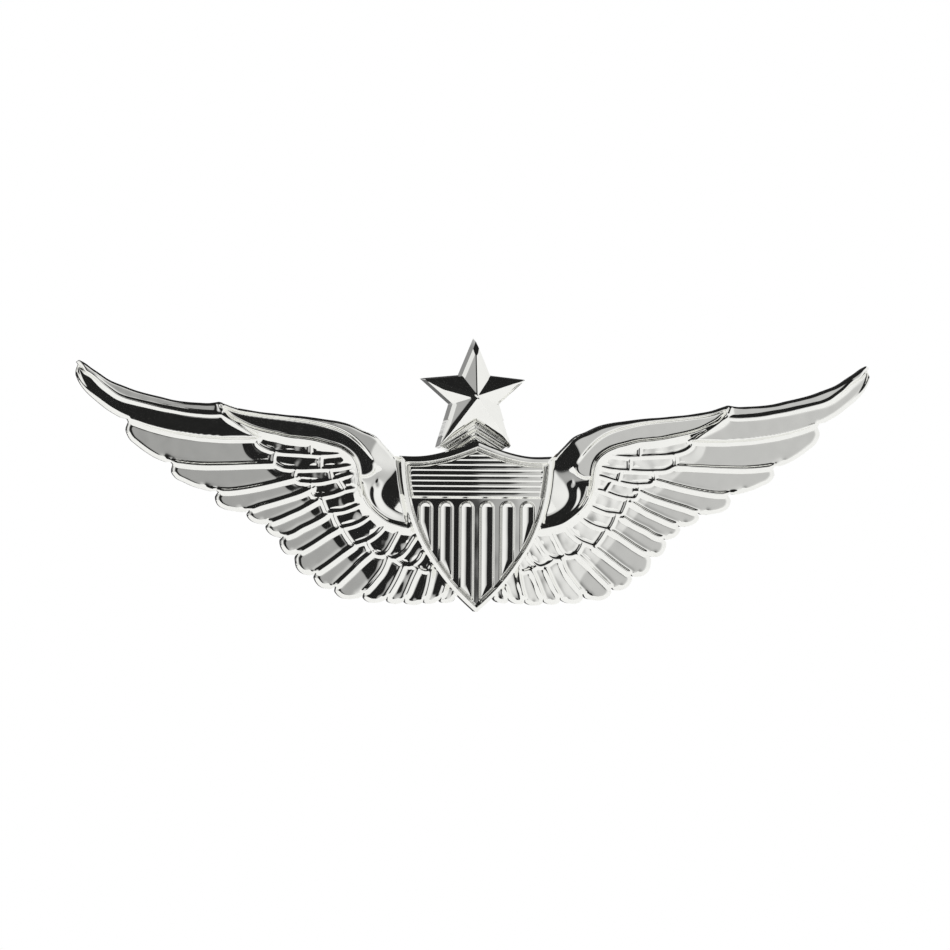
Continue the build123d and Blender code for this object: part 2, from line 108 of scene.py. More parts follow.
# The ridge along the arm's lower side, round the shoulder and in to the shield
ARM_RIDGE = [(-20.1, 5.85), (-19.5, 5.25), (-19, 4.96), (-18, 4.46), (-17, 4.15), (-16, 3.92),
             (-15, 3.7), (-14, 3.58), (-13, 3.46), (-12, 3.2), (-11, 2.9), (-10.35, 2.55),
             (-9.85, 2.1), (-9.6, 1.63), (-9.45, 0.9), (-9.4, 0.3), (-9.3, -0.27), (-9.1, -1.0),
             (-8.6, -1.84), (-8.17, -2.26), (-7.67, -2.67), (-7.08, -3.05), (-6.5, -3.26),
             (-6, -3.38), (-5.3, -3.5)]
# The ridge's point where it turns round the shoulder
RIDGE_TURN = 16
# Upper edge of the channel between the arm's band and its ridge
CHANNEL_TOP = [(-20.0, 6.14), (-19, 5.78), (-17, 5.42), (-15, 5.17), (-13, 4.87), (-12, 4.62),
               (-11, 4.3), (-10.5, 4.08), (-10, 3.78), (-9.5, 3.38), (-9, 2.88), (-8.5, 2.27),
               (-8.15, 1.75), (-8.0, 1.3), (-8.1, 0.95), (-8.4, 0.7), (-8.8, 0.57), (-9.2, 0.62)]
# Left edge of the bulge beside the shield, and the low crest round it
BULGE = [(-6.15, 1.8), (-6.3, 1.2), (-6.65, 0.65), (-7.1, 0.15), (-7.4, -0.35), (-7.5, -0.9),
         (-7.25, -1.5), (-6.7, -2.05), (-6.0, -2.45), (-5.3, -2.65)]
SHOULDER_CREST = [(-7.95, -0.1), (-8.1, -0.7), (-8.0, -1.4), (-7.6, -2.05), (-7.0, -2.5), (-6.3, -2.85),
                  (-5.6, -3.0)]

# Where the feathers start to rise towards their roots
FEATHER_CREASE = [(-18.6, 4.2), (-18.3, 2.6), (-16.4, 1.0), (-15.0, -0.3), (-13.6, -1.5), (-12.5, -2.9),
                  (-11.4, -4.2), (-10.6, -5.2), (-9.8, -6.2), (-8.7, -7.2), (-8.3, -9.4)]

# Raised edges of the small covert feathers, row by row from the top
COVERTS = [
    [(-17.25, 3.7), (-17.35, 3.3), (-17, 2.95), (-16.5, 2.72), (-15.5, 2.5), (-14, 2.4),
     (-12.4, 2.3), (-11.5, 2.33), (-10.2, 2.5)],
    [(-15.93, 2.5), (-16, 1.7), (-15.5, 1.35), (-14.2, 1.18), (-12.5, 1.2), (-11, 1.27), (-9.8, 1.5)],
    [(-14.25, 1.1), (-14.38, 0.5), (-14.1, 0.22), (-13.5, 0.12), (-12.8, 0.1), (-11.3, 0.35),
     (-10.1, 0.7), (-9.5, 0.85)],
    [(-13.05, 0.05), (-13.05, -0.6), (-12.85, -0.95), (-12.3, -1.0), (-11.5, -0.88),
     (-10.2, -0.45), (-9.35, -0.3)],
    [(-12.2, -1.0), (-11.95, -1.8), (-11.7, -2.25), (-11.2, -2.22), (-10.5, -2.15), (-9.9, -1.95),
     (-8.95, -1.5)],
    [(-11.3, -2.3), (-11, -3.1), (-10.75, -3.45), (-10.2, -3.4), (-9.5, -3.2), (-9, -2.95),
     (-8.2, -2.35)],
    [(-10.5, -3.5), (-9.95, -4.4), (-9.6, -4.78), (-9, -4.65), (-8.4, -4.4), (-7.9, -4.05),
     (-7.15, -3.2)],
    [(-8.6, -4.6), (-8.35, -5.15), (-7.9, -5.55), (-7.3, -5.6), (-6.95, -5.3), (-6.6, -4.7),
     (-6.05, -3.6)],
    [(-7.2, -5.6), (-6.5, -5.9), (-6, -5.75), (-5.5, -5.3), (-5.1, -4.7), (-4.8, -4.2)],
    [(-6.3, -5.95), (-5.6, -6.4), (-5.2, -6.5), (-4.8, -6.3), (-4.4, -5.9), (-4.2, -5.5)],
    [(-5.0, -6.45), (-4.2, -6.8), (-3.8, -6.88), (-3.5, -6.5)],
]
COVERT_DIVIDERS = [[(-13.15, 3.45), (-13.15, 2.4)], [(-12.35, 2.3), (-12.35, 1.25)],
                   [(-11.65, 1.2), (-11.45, 0.35)], [(-10.95, 0.35), (-10.4, -0.5)]]

# ---- Shield: half outline from the middle of its top, down its left side to the point ----
SHIELD_TOP = [(0, 3.45), (-1.1, 3.0), (-2.6, 2.5), (-4, 2.22), (-6.02, 2.2)]
SHIELD_SIDE = [(-6.02, 2.2), (-5.88, 0.3), (-5.4, -2.2), (-4.5, -4.6), (-3.45, -6.3), (-2, -8.2),
               (0, -10.15)]

# ---- Star ----
STAR_CENTRE = (-0.1, 6.95)
STAR_POINT_RADII = [4.35, 4.25, 4.85, 4.8, 4.1]
STAR_INNER_RADIUS = 1.95
SADDLE_FOOT = [(-2.2, 2.75), (-1.9, 2.15), (1.8, 2.15), (2.05, 2.75)]


# ---- Lines and distances ----
def smooth_line(points, gap=0.1):
    """A smooth curve through a list of points, as closely spaced points."""
    p = np.array(points, float)
    if len(p) == 2:
        count = max(2, int(np.linalg.norm(p[1] - p[0]) / gap))
        return p[0] + (p[1] - p[0]) * np.linspace(0, 1, count + 1)[:, None]
    chord = np.linalg.norm(np.diff(p, axis=0), axis=1)[:, None]
    slope = np.diff(p, axis=0) / chord
    tangent = np.empty_like(p)
    tangent[1:-1] = (slope[:-1] * chord[1:] + slope[1:] * chord[:-1]) / (chord[:-1] + chord[1:])
    tangent[0] = 1.5 * slope[0] - 0.5 * tangent[1]
    tangent[-1] = 1.5 * slope[-1] - 0.5 * tangent[-2]
    pieces = []
    for i, run in enumerate(chord[:, 0]):
        t = np.linspace(0, 1, max(2, int(run / gap)), endpoint=False)[:, None]
        pieces.append((2 * t**3 - 3 * t**2 + 1) * p[i] + (t**3 - 2 * t**2 + t) * run * tangent[i]
                      + (3 * t**2 - 2 * t**3) * p[i + 1] + (t**3 - t**2) * run * tangent[i + 1])
    return np.vstack(pieces + [p[-1:]])


def offset_line(line, distance):
    """A line moved sideways to its right by this much."""
    run = np.gradient(line, axis=0)
    run /= np.linalg.norm(run, axis=1)[:, None]
    return line + distance * np.stack([run[:, 1], -run[:, 0]], axis=1)


def nearest_on(line, x, z, closed=False):
    """For each point: its distance from a line, positive to the line's right, and the
    nearest place on it."""
    ends = np.roll(line, -1, axis=0) if closed else line[1:]
    starts = line if closed else line[:-1]
    best = np.full(x.shape, np.inf)
    side = np.ones(x.shape)
    near_x, near_z = x.copy(), z.copy()
    for (ax, az), (bx, bz) in zip(starts, ends):
        run_x, run_z = bx - ax, bz - az
        t = np.clip(((x - ax) * run_x + (z - az) * run_z) / (run_x**2 + run_z**2 + 1e-12), 0, 1)
        at_x, at_z = ax + t * run_x, az + t * run_z
        away = np.hypot(x - at_x, z - at_z)
        closer = away < best
        best[closer] = away[closer]
        near_x[closer], near_z[closer] = at_x[closer], at_z[closer]
        side[closer] = np.sign((x - at_x) * run_z - (z - at_z) * run_x)[closer]
    return best * np.where(side < 0, -1, 1), near_x, near_z


def distance_to(points, x, z):
    """Distance from a smooth line through these points, positive to its right."""
    return nearest_on(smooth_line(points), x, z)[0]


def inside(outline, x, z):
    """True where a grid point lies inside a closed outline."""
    x0, z0 = outline.T
    x1, z1 = np.roll(outline, -1, axis=0).T
    result = np.zeros(x.shape, bool)
    for row in range(x.shape[0]):
        level = z[row, 0]
        cut = (z0 <= level) != (z1 <= level)
        along = (level - z0[cut]) / (z1[cut] - z0[cut])
        crossings = np.sort(x0[cut] + along * (x1[cut] - x0[cut]))
        result[row] = np.searchsorted(crossings, x[row]) % 2 == 1
    return result


def within_band(upper, lower, x, z, soft=0.08):
    """1 between two lines that run the same way and 0 outside, with a narrow slope between."""
    outline = np.vstack([smooth_line(upper), smooth_line(lower)[::-1]])
    away, _, _ = nearest_on(outline, x, z, closed=True)
    depth = np.where(inside(outline, x, z), np.abs(away), -np.abs(away))
    return smooth_step(depth, -soft, soft)


# ---- Grids of heights ----
def smooth_step(value, start, end):
    """0 before start, 1 after end, and an S curve from one to the other."""
    t = np.clip((value - start) / (end - start), 0, 1)
    return t * t * (3 - 2 * t)


def blurred(grid, cells):
    """The grid softened by a bell curve of this width, in cells."""
    reach = int(3 * cells) + 1
    weights = np.exp(-0.5 * (np.arange(-reach, reach + 1) / cells) ** 2)
    weights /= weights.sum()
    for axis in (0, 1):
        padded = np.pad(grid, [(reach, reach) if a == axis else (0, 0) for a in (0, 1)], mode="edge")
        size = grid.shape[axis]
        grid = sum(w * np.take(padded, np.arange(k, k + size), axis=axis) for k, w in enumerate(weights))
    return grid


def ripples(shape, cells, seed):
    """Smooth unevenness of about unit size, the same on every run."""
    grid = blurred(np.random.default_rng(seed).normal(size=shape), cells)
    return grid / grid.std()


def blend(start, end, share):
    """From start to end by this share."""
    return start + (end - start) * share


def tilted_plane(x, z, height, at, rise_down, rise_inwards):
    """A plane with this height at one place, that rises downwards and towards the shield."""
    return height + rise_down * (at[1] - z) + rise_inwards * (x - at[0])


class Relief:
    """A grid of heights in millimetres above the badge's back."""

    BEAD_REACH = 1.6
    FOOT_SOFTNESS = 0.12
    FOOT_SINK = 0.0036
    FAR = 9.0

    def __init__(self, corner, far_corner, step):
        self.step = step
        self.x, self.z = np.meshgrid(np.arange(corner[0], far_corner[0] + step, step),
                                     np.arange(corner[1], far_corner[1] + step, step))
        self.height = np.zeros(self.x.shape)
        self.bead = np.zeros(self.x.shape)
        self.nearest = np.full(self.x.shape, self.FAR)

    def window(self, line, reach):
        """The part of the grid within reach of a line's box."""
        origin = (self.x[0, 0], self.z[0, 0])
        first = np.floor((line.min(0) - reach - origin) / self.step).astype(int)
        last = np.ceil((line.max(0) + reach - origin) / self.step).astype(int)
        first = np.maximum(first, 0)
        return np.s_[first[1]:max(last[1] + 1, 0), first[0]:max(last[0] + 1, 0)]

    def add_bead(self, points, profile, pillow=True, fade=None):
        """A rounded raised line. Its profile is its height, the width of the slope on its
        left and of the one on its right. It can fade in over a distance from its start,
        and with pillow, the surface beside it swells away from it."""
        height, left, right = profile
        line = smooth_line(points)
        part = self.window(line, self.BEAD_REACH)
        side, _, _ = nearest_on(line, self.x[part], self.z[part])
        rounding = 0.9 * self.step
        off_crest = np.hypot(side, rounding) - rounding
        drop = 1 - off_crest / np.where(side < 0, left, right)
        # cut off softly at zero, where the bead's foot meets the surface
        bead = height * 0.5 * (drop + np.hypot(drop, self.FOOT_SOFTNESS)) - self.FOOT_SINK * height
        if fade:
            from_start = np.hypot(self.x[part] - line[0, 0], self.z[part] - line[0, 1])
            bead = bead * smooth_step(from_start, 0.0, fade)
        self.bead[part] = np.maximum(self.bead[part], bead)
        if pillow:
            self.nearest[part] = np.minimum(self.nearest[part], np.abs(side))

    def at(self, x, z):
        """Height at any place, interpolated between grid points."""
        column = np.clip((x - self.x[0, 0]) / self.step, 0, self.x.shape[1] - 1.001)
        row = np.clip((z - self.z[0, 0]) / self.step, 0, self.x.shape[0] - 1.001)
        i, j = column.astype(int), row.astype(int)
        u, v = column - i, row - j
        h = self.height
        return ((h[j, i] * (1 - u) + h[j, i + 1] * u) * (1 - v)
                + (h[j + 1, i] * (1 - u) + h[j + 1, i + 1] * u) * v)


# ---- From a relief to a closed mesh ----
def without_pinches(cells):
    """Fills single gaps, and the cells beside two kept ones that touch by a corner alone."""
    cells[1:-1, 1:-1] |= cells[:-2, 1:-1] & cells[2:, 1:-1] & cells[1:-1, :-2] & cells[1:-1, 2:]
    while True:
        a, b = cells[:-1, :-1], cells[1:, 1:]
        c, d = cells[:-1, 1:], cells[1:, :-1]
        pinch = (a & b & ~c & ~d) | (c & d & ~a & ~b)
        if not pinch.any():
            return cells
        rows, columns = np.nonzero(pinch)
        cells[rows, columns] = True
        cells[rows, columns + 1] = True


def kept_cells(relief, outline, hidden):
    """True for the grid cells inside the outline and outside the hidden one."""
    middle_x, middle_z = relief.x[:-1, :-1] + relief.step / 2, relief.z[:-1, :-1] + relief.step / 2
    cells = inside(outline, middle_x, middle_z)
    if hidden is not None:
        cells &= ~inside(hidden, middle_x, middle_z)
    return without_pinches(cells)


def boundary_loop(cells):
    """The longest closed run of grid points round the kept cells, anticlockwise."""
    kept = np.pad(cells, 1)
    here = kept[1:-1, 1:-1]
    width = cells.shape[1] + 1
    after = {}
    for neighbour, start, end in ((kept[:-2, 1:-1], (0, 0), (0, 1)), (kept[1:-1, 2:], (0, 1), (1, 1)),
                                  (kept[2:, 1:-1], (1, 1), (1, 0)), (kept[1:-1, :-2], (1, 0), (0, 0))):
        rows, columns = np.nonzero(here & ~neighbour)
        for row, column in zip(rows.tolist(), columns.tolist()):
            after[(row + start[0]) * width + column + start[1]] = (row + end[0]) * width + column + end[1]
    loops = []
    while after:
        first, point = after.popitem()
        loop = [first]
        while point != first:
            loop.append(point)
            point = after.pop(point)
        loops.append(loop)
    return np.array(max(loops, key=len))


def longest_run(flags):
    """Start and length of the longest unbroken run of True in a closed loop."""
    starts = np.nonzero(flags & ~np.roll(flags, 1))[0]
    lengths = [np.argmin(np.roll(flags, -start)) for start in starts]
    return starts[int(np.argmax(lengths))], max(lengths)


class Shell:
    """A closed mesh being built from a relief: its front first, then walls and back.
    Cells in the hidden outline are left out of the front."""

    # how near to the outline a point of the edge loop counts as on it, in grid steps
    ON_OUTLINE = 1.05

    def __init__(self, relief, outline, hidden=None):
        cells = kept_cells(relief, outline, hidden)
        loop = boundary_loop(cells)
        x, z, height = relief.x.ravel().copy(), relief.z.ravel().copy(), relief.height.ravel().copy()
        # the loop's visible part is drawn onto the outline itself
        away, near_x, near_z = nearest_on(outline, x[loop], z[loop], closed=True)
        self.visible = len(loop)
        if hidden is not None:
            start, self.visible = longest_run(np.abs(away) < self.ON_OUTLINE * relief.step)
            order = np.roll(np.arange(len(loop)), -start)
            loop, near_x, near_z = loop[order], near_x[order], near_z[order]
        edge = loop[:self.visible]
        x[edge], z[edge] = near_x[:self.visible], near_z[:self.visible]
        height[edge] = relief.at(x[edge], z[edge])

        rows, columns = np.nonzero(cells)
        width = relief.x.shape[1]
        corner = rows * width + columns
        quads = np.stack([corner, corner + 1, corner + width + 1, corner + width], axis=1)
        used, quads_used = np.unique(quads, return_inverse=True)
        number = {old: new for new, old in enumerate(used.tolist())}
        self.front = [number[k] for k in loop.tolist()]
        self.points = np.stack([x[used], -height[used], z[used]], axis=1).tolist()
        self.faces = quads_used.reshape(-1, 4).tolist()
        self.sharp_runs = []
        self.flat_faces = 0

    def add_points(self, places, level):
        """New points at these x and z, this height above the badge's back."""
        first = len(self.points)
        self.points.extend([x, -level, z] for x, z in places)
        return list(range(first, len(self.points)))

    def behind(self, members, level):
        """New points straight behind these ones."""
        return self.add_points([(self.points[m][0], self.points[m][2]) for m in members], level)

    def add_wall(self, upper, lower):
        """Quads between two runs of the same length."""
        for k in range(len(upper) - 1):
            self.faces.append([upper[k], lower[k], lower[k + 1], upper[k + 1]])

    def close_plain(self, back, foot=None):
        """Walls all round and one flat back. Foot says where a front edge's point stands
        on the back, if it is not straight behind."""
        base = self.behind(self.front, back)
        if foot is not None:
            for k in base:
                foot_x, foot_z = foot(self.points[k][0], self.points[k][2])
                self.points[k] = [foot_x, -back, foot_z]
        self.add_wall(self.front + self.front[:1], base + base[:1])
        self.faces.append(base[::-1])
        self.sharp_runs = [self.front, base]
        self.flat_faces = 1

    def close_with_hub(self, back, level, corners):
        """Walls along the visible edge, and a plain hub at a lower level that reaches from
        the cut to the corners. The back is one flat face behind the wing and one behind
        the hub."""
        seen = self.front[:self.visible]
        base = self.behind(seen, back)
        cut = self.front[self.visible - 1:] + self.front[:1]
        shelf = self.behind(cut, level)
        # the first and the last wall also take in the end of the shelf
        self.faces.append([seen[0], shelf[-1], base[0], base[1], seen[1]])
        self.add_wall(seen[1:-1], base[1:-1])
        self.faces.append([seen[-2], base[-2], base[-1], shelf[0], seen[-1]])
        self.add_wall(cut, shelf)
        hub_front = self.add_points(corners, level)
        hub_back = self.add_points(corners, back)
        self.faces.append([shelf[0]] + hub_front + shelf[:0:-1])
        self.add_wall([shelf[0]] + hub_front + [shelf[-1]], [base[-1]] + hub_back + [base[0]])
        self.faces.append([base[0]] + hub_back[::-1] + [base[-1]])
        self.faces.append(base[::-1])
        self.sharp_runs = [seen, base + hub_back]
        self.flat_faces = 2

    def to_object(self, name, mirrored=False, droop=0.0):
        """The finished piece in metres. Droop lowers it by this much for each squared mm of x."""
        points, faces = np.array(self.points), self.faces
        points[:, 2] -= droop * points[:, 0] ** 2
        points *= MM
        if mirrored:
            points[:, 0] *= -1
            faces = [face[::-1] for face in faces]
        mesh = bpy.data.meshes.new(name)
        mesh.from_pydata(points.tolist(), [], faces)
        mesh.polygons.foreach_set("use_smooth", np.ones(len(faces), bool))
        ends = np.zeros(2 * len(mesh.edges), np.int64)
        mesh.edges.foreach_get("vertices", ends)
        ends = np.sort(ends.reshape(-1, 2), axis=1)
        count = len(points)
        sharp = np.zeros(len(ends), bool)
        for run in self.sharp_runs:
            pairs = np.sort(np.stack([run, run[1:] + run[:1]], axis=1), axis=1)
            sharp |= np.isin(ends[:, 0] * count + ends[:, 1], pairs[:, 0] * count + pairs[:, 1])
        mesh.attributes.new("sharp_edge", "BOOLEAN", "EDGE").data.foreach_set("value", sharp)
        for face in mesh.polygons[len(faces) - self.flat_faces:]:
            face.material_index = 1
            face.use_smooth = False
        mesh.validate()
        piece = bpy.data.objects.new(name, mesh)
        bpy.context.scene.collection.objects.link(piece)
        return piece


# ---- Wings ----
# Beads: height, width of the slope on the line's left and of the one on its right
FIRST_QUILL_BEAD = (0.28, 0.02, 0.35)
QUILL_BEAD = (0.23, 0.14, 0.35)
LEADING_BEAD = (0.24, 0.13, 0.25)
WRIST_BEAD = (0.2, 0.12, 0.14)
COVERT_BEAD = (0.18, 0.11, 0.2)
DIVIDER_BEAD = (0.16, 0.13, 0.14)
RIDGE_BEAD = (0.36, 0.15, 0.46)
LOWER_RIDGE_BEAD = (0.36, 0.45, 0.46)
CREST_BEAD = (0.1, 0.5, 0.22)

# Levels above the back
FEATHER_LEVEL = 0.8
STRIP_RISE = 0.22
PANEL_LEVEL = 0.58
ARM_LEVEL = 1.5
CHANNEL_LEVEL = 1.04
SHOULDER_LEVEL = 1.38
HUB_LEVEL = 1.0

# Width beyond the quills' free ends, and the slopes there: how steep, and how far in
EDGE_MARGIN = 0.2
FREE_END_SLOPES = ((0.13, 0.36), (0.7, 0.22))
# The top edge's rounding: which line, and its width
TOP_ROUNDING = ((LEADING_EDGE, 0.16), (ARM_TOP, 0.24))
TOP_DROP = 0.7

WING_STEP = 0.055
WING_DROOP = 0.00038
HUB_CORNERS = [(0.0, -9.3), (0.0, 2.1)]
# How far the wings' relief reaches in under the shield
SHIELD_OVERLAP = 0.5


def trailing_edge():
    """The visible edge of the feathers' free ends, from the tip to the shield."""
    run_in, left_at_end = 0.12, 0.35
    free_ends = []
    for free_end, _ in QUILLS:
        line = smooth_line(free_end, 0.06)
        along = np.linspace(0, 1, len(line))[:, None]
        taper = np.minimum(1, np.minimum(along / run_in, (1 - along) / run_in + left_at_end))
        free_ends.append(line + (offset_line(line, EDGE_MARGIN) - line) * taper)
    return np.vstack([[TIP_CORNER]] + free_ends)


def wing_outline():
    """Left wing's closed edge, from the tip along the feathers and back along the top."""
    top = np.vstack([smooth_line(LEADING_EDGE), smooth_line(ARM_TOP), UNDER_SHIELD])
    return np.vstack([trailing_edge(), top[::-1]])


def add_wing_beads(wing):
    """The raised lines: quills, coverts, the arm's ridge and the shoulder's crest."""
    for i, (free_end, root) in enumerate(QUILLS):
        wing.add_bead(free_end[-2:] + root, FIRST_QUILL_BEAD if i == 0 else QUILL_BEAD, fade=0.8)
    wing.add_bead(LEADING_QUILL, LEADING_BEAD, fade=1.6)
    wing.add_bead(WRIST, WRIST_BEAD)
    for line in COVERTS:
        wing.add_bead(line, COVERT_BEAD)
    for line in COVERT_DIVIDERS:
        wing.add_bead(line, DIVIDER_BEAD)
    wing.add_bead(ARM_RIDGE, RIDGE_BEAD)
    # from its turn round the shoulder, the ridge is as broad on its left as on its right
    wing.add_bead(ARM_RIDGE[RIDGE_TURN:], LOWER_RIDGE_BEAD)
    wing.add_bead(SHOULDER_CREST, CREST_BEAD, pillow=False, fade=0.6)


def arm_heights(x, z):
    """The arm's upper band, which runs into a bulge beside the shield."""
    upper_band = ARM_LEVEL + 0.012 * (x + 20)
    outside_bulge = distance_to(BULGE, x, z)
    # a fold along the bulge's edge: steeper on the bulge's side than on the arm's
    slope_on_bulge = -0.17
    slope_on_arm = 0.115 - 0.095 * np.exp(-((z - 0.5) / 0.7) ** 2)
    shoulder = SHOULDER_LEVEL + np.where(outside_bulge > 0, slope_on_arm, slope_on_bulge) * outside_bulge
    # it turns down just before it meets the shield
    from_shield = distance_to(SHIELD_SIDE, x, z)
    shoulder -= 0.5 * np.maximum(0.3 - np.abs(from_shield), 0)
    lowered = np.where(outside_bulge > 0, np.minimum(upper_band, shoulder), shoulder)
    return blend(upper_band, lowered, smooth_step(x, -12, -10))


def wing_relief():
    """The left wing's heights, on a grid that reaches past its outline."""
    wing = Relief((-31.95, -9.8), (0.1, 10.2), WING_STEP)
    x, z = wing.x, wing.z
    add_wing_beads(wing)
    # feathers: nearly level, then rising towards their roots
    past_crease = -distance_to(FEATHER_CREASE, x, z)
    surface = FEATHER_LEVEL + 0.01 * (x + 31.5) + 0.085 * np.maximum(past_crease, 0)
    # first feather: a level strip along its top edge, and a panel that faces up
    strip = within_band(LEADING_EDGE, LEADING_QUILL, x, z)
    surface += STRIP_RISE * strip
    panel = within_band(LEADING_QUILL, QUILLS[0][0] + QUILLS[0][1], x, z)
    panel_plane = tilted_plane(x, z, PANEL_LEVEL, at=(-31, 8.9), rise_down=0.17, rise_inwards=0.006)
    surface = blend(surface, panel_plane, panel)
    # arm: its heights, and a channel that faces up
    arm = within_band(ARM_TOP + [ARM_END], ARM_RIDGE, x, z)
    surface = blend(surface, arm_heights(x, z), arm)
    in_channel = within_band(CHANNEL_TOP, ARM_RIDGE[:RIDGE_TURN + 2], x, z, soft=0.05)
    channel_plane = tilted_plane(x, z, CHANNEL_LEVEL, at=(-20, 5.4), rise_down=0.105,
                                 rise_inwards=0.012)
    surface = blend(surface, channel_plane, in_channel)
    surface = blurred(surface, 0.8)
    # the vanes swell a little between their raised edges, and the roots are uneven
    plain = 1 - np.clip(arm + strip + panel, 0, 1)
    pillow = 0.05 * (1 - np.exp(-(wing.nearest / 0.28) ** 2)) * plain
    roots = smooth_step(past_crease, 0.3, 2.5) * plain
    uneven = (0.0008 + 0.012 * roots) * ripples(x.shape, 5, 11)
    wing.height = surface + blurred(wing.bead, 0.7) + pillow + uneven
    # free ends: a gentle slope, and a steeper one from there out to the edge
    to_edge = np.abs(nearest_on(trailing_edge()[::2], x, z)[0])
    wing.height -= sum(slope * np.maximum(width - to_edge, 0) for slope, width in FREE_END_SLOPES)
    # rounded edge along the top of the wing
    for line, width in TOP_ROUNDING:
        off_top = np.abs(distance_to(line, x, z))
        wing.height -= TOP_DROP * width * (1 - np.clip(off_top / width, 0, 1)) ** 2
    wing.height = blurred(wing.height, 0.7)
    return wing


# ---- Shield ----
SHIELD_STEP = 0.042
SHIELD_BACK = 1.0
FIELD_LEVEL = 2.38
RIM_WIDTH = 0.3
BLOCK_BOTTOM = -1.1
BLOCK_HALF_WIDTH = 5.4
BLOCK_RISE = 0.26
# Grooves across the chief block: their z and half length
GROOVES = [(1.45 - 0.42 * i, 5.3) for i in range(6)] + [(1.84, 2.3), (2.2, 1.35), (2.6, 0.7)]
GROOVE_DEPTH = 0.045
GROOVE_WIDTH = 0.075
BAR_PITCH = 1.62
BAR_HALF_WIDTH = 0.56
BARS_TOP = -1.35
BAR_RISE = 0.32
BAR_DISH = 0.16


def shield_outline(inset=0.0):
    """The shield's closed outline, clockwise from its lower point, moved in by inset."""
    top = offset_line(smooth_line(SHIELD_TOP[::-1]), inset)
    side = offset_line(smooth_line(SHIELD_SIDE[::-1]), inset)
    left = np.vstack([side[side[:, 0] < 0], top[top[:, 0] < 0]])
    return np.vstack([left, left[::-1] * (-1, 1)])


def bar_heights(x, z, depth):
    """Six bars above the field, each dished along its middle and round at its top."""
    across = (x / BAR_PITCH - np.floor(x / BAR_PITCH) - 0.5) * BAR_PITCH
    top_centre = BARS_TOP - BAR_HALF_WIDTH
    from_middle = np.where(z > top_centre, np.hypot(across, z - top_centre), np.abs(across))
    into_bar = np.minimum(BAR_HALF_WIDTH - from_middle, depth - 0.5) * (z < -1)
    towards_edge = 1 - np.clip(into_bar, 0, BAR_HALF_WIDTH) / BAR_HALF_WIDTH
    dish = BAR_RISE - BAR_DISH * (1 - towards_edge ** 2)
    return dish * smooth_step(into_bar, 0, 0.1)


def shield_relief():
    """The shield's heights: rim, chief block with grooves, and bars."""
    shield = Relief((-6.2, -10.3), (6.2, 3.6), SHIELD_STEP)
    x, z = shield.x, shield.z
    outline = shield_outline()
    edge, _, _ = nearest_on(outline, x, z, closed=True)
    depth = np.where(inside(outline, x, z), np.abs(edge), 0)
    top = smooth_line(SHIELD_TOP)
    top_edge, _, _ = nearest_on(np.vstack([top[::-1], top * (-1, 1)]), x, z)
    # rim: slopes outwards to the edge, rounder and wider at the top, and drops to the field
    near_top = smooth_step(depth - np.abs(top_edge), -0.2, 0)
    bevel = RIM_WIDTH + 0.15 * near_top
    over_bevel = np.clip(depth / bevel, 0, 1)
    rounded = 2.7 + 0.12 * (1 - (1 - over_bevel) ** 2)
    rim_height = blend(2.56 + 0.26 * over_bevel, rounded, near_top)
    height = blend(rim_height, FIELD_LEVEL, smooth_step(depth, bevel + 0.01, bevel + 0.13))
    # chief block with level grooves
    below_rim = depth - bevel - 0.24
    into_block = np.minimum(np.minimum(below_rim, z - BLOCK_BOTTOM), BLOCK_HALF_WIDTH - np.abs(x))
    block = smooth_step(into_block, 0, 0.12)
    height += BLOCK_RISE * block
    for centre, half in GROOVES:
        groove = np.exp(-((z - centre) / GROOVE_WIDTH) ** 2) * smooth_step(half - np.abs(x), 0, 0.2)
        height -= GROOVE_DEPTH * groove * block
    height += bar_heights(x, z, depth)
    # the whole front faces a little to the left and is slightly crowned
    height += 0.05 * x - 0.008 * x**2
    shield.height = blurred(height, 0.6) + 0.003 * ripples(x.shape, 9, 5)
    return shield


# ---- Star ----
STAR_STEP = 0.04
STAR_BACK = 0.2
STAR_PEAK = 3.2
STAR_RISE = 1.0
STAR_FLARE = 1.055
STAR_EDGE_LEVEL = 2.1
WORN_RIDGE_ANGLE = 234
FOLD_SLOPE = 0.62
FOLD_PITCH = 0.52
FOLD_HEIGHT = 0.07


def star_corners():
    """The five points and the five corners between them, anticlockwise from the top."""
    corners = []
    for i, radius in enumerate(STAR_POINT_RADII):
        angle = math.pi / 2 + i * 2 * math.pi / 5
        corners.append((STAR_CENTRE[0] + radius * math.cos(angle), STAR_CENTRE[1] + radius * math.sin(angle)))
        angle += math.pi / 5
        corners.append((STAR_CENTRE[0] + STAR_INNER_RADIUS * math.cos(angle),
                        STAR_CENTRE[1] + STAR_INNER_RADIUS * math.sin(angle)))
    return np.array(corners)


def star_outline():
    """The star's closed edge, with the saddle's foot in place of its lowest inner corner."""
    corners = star_corners()
    crotch = int(np.argmin(corners[:, 1] + 10 * (np.arange(10) % 2 == 0)))
    edge = [tuple(corner) for corner in corners]
    edge[crotch:crotch + 1] = SADDLE_FOOT
    return np.vstack([smooth_line([a, b])[:-1] for a, b in zip(edge, edge[1:] + edge[:1])])


def star_foot(x, z):
    """Where the star's back has the point (x, z) of its front edge: a little further out,
    but not at the saddle's foot."""
    spread = 1 + (STAR_FLARE - 1) * float(smooth_step(z, 2.2, 3.4))
    return STAR_CENTRE[0] + (x - STAR_CENTRE[0]) * spread, STAR_CENTRE[1] + (z - STAR_CENTRE[1]) * spread


